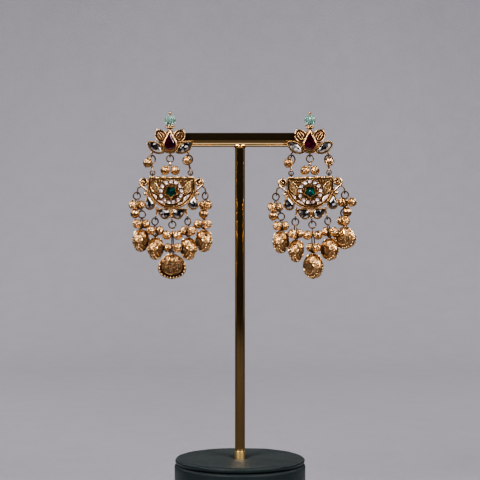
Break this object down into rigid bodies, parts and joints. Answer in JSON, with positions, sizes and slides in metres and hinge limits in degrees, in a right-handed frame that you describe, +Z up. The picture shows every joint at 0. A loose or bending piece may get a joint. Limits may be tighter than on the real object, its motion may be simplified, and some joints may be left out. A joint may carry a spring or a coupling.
{
  "type": "pair of chandbali earrings on a display stand",
  "caption": "Pair of gold chandbali drop earrings with lotus studs, half-moon plates and ball strings, hung on a T-bar display stand with a round padded base.",
  "frame": {"origin": "centre of the stand's underside, on the surface that it stands on", "axes": "+Z up along the post, +X along the crossbar to the viewer's right, -Y the way that the earrings face"},
  "size_m": [0.113, 0.0654, 0.2004],
  "materials": {
    "leatherette": "dark green-grey grained leatherette, satin",
    "polished_gold": "mirror-polished gold plate on tube",
    "antique_gold": "warm antique gold, dark in the recesses and bright on the edges",
    "aqua_stone": "pale aqua fluted bead, glossy",
    "ruby_stone": "dark ruby, cut and polished",
    "emerald_stone": "deep emerald, cut and polished",
    "clear_stone": "clear foil-backed crystal, cut and polished"
  },
  "bodies": {
    "stand": {"base_drum": "leatherette", "base_lid": "leatherette", "stand_post": "polished_gold", "stand_crossbar": "polished_gold", "left_lotus_stud": "antique_gold", "left_stud_bead": "aqua_stone", "left_ruby": "ruby_stone", "left_leaf_stone_left": "clear_stone", "left_leaf_stone_right": "clear_stone", "right_lotus_stud": "antique_gold", "right_stud_bead": "aqua_stone", "right_ruby": "ruby_stone", "right_leaf_stone_left": "clear_stone", "right_leaf_stone_right": "clear_stone"},
    "left_drop": {"left_moon_plate": "antique_gold", "left_star_stone": "emerald_stone", "left_side_stone_left": "clear_stone", "left_side_stone_right": "clear_stone", "left_low_stone_left": "clear_stone", "left_low_stone_right": "clear_stone", "left_link_left": "antique_gold", "left_link_right": "antique_gold", "left_middle_dangle": "antique_gold", "left_string_1": "antique_gold", "left_puffed_drop_1": "antique_gold", "left_string_2": "antique_gold", "left_puffed_drop_2": "antique_gold", "left_string_3": "antique_gold", "left_puffed_drop_3": "antique_gold", "left_string_4": "antique_gold", "left_puffed_drop_4": "antique_gold", "left_string_5": "antique_gold", "left_puffed_drop_5": "antique_gold"},
    "right_drop": {"right_moon_plate": "antique_gold", "right_star_stone": "emerald_stone", "right_side_stone_left": "clear_stone", "right_side_stone_right": "clear_stone", "right_low_stone_left": "clear_stone", "right_low_stone_right": "clear_stone", "right_link_left": "antique_gold", "right_link_right": "antique_gold", "right_middle_dangle": "antique_gold", "right_string_1": "antique_gold", "right_puffed_drop_1": "antique_gold", "right_string_2": "antique_gold", "right_puffed_drop_2": "antique_gold", "right_string_3": "antique_gold", "right_puffed_drop_3": "antique_gold", "right_string_4": "antique_gold", "right_puffed_drop_4": "antique_gold", "right_string_5": "antique_gold", "right_puffed_drop_5": "antique_gold"}
  },
  "joints": [
    {"name": "left_drop_swing", "type": "hinge", "parent": "stand", "child": "left_drop", "pos_m": [-0.0347, -0.0049, 0.1789], "axis": [1, 0, 0], "range_deg": [-60, 60]},
    {"name": "right_drop_swing", "type": "hinge", "parent": "stand", "child": "right_drop", "pos_m": [0.0347, -0.0049, 0.1789], "axis": [1, 0, 0], "range_deg": [-60, 60]}
  ]
}
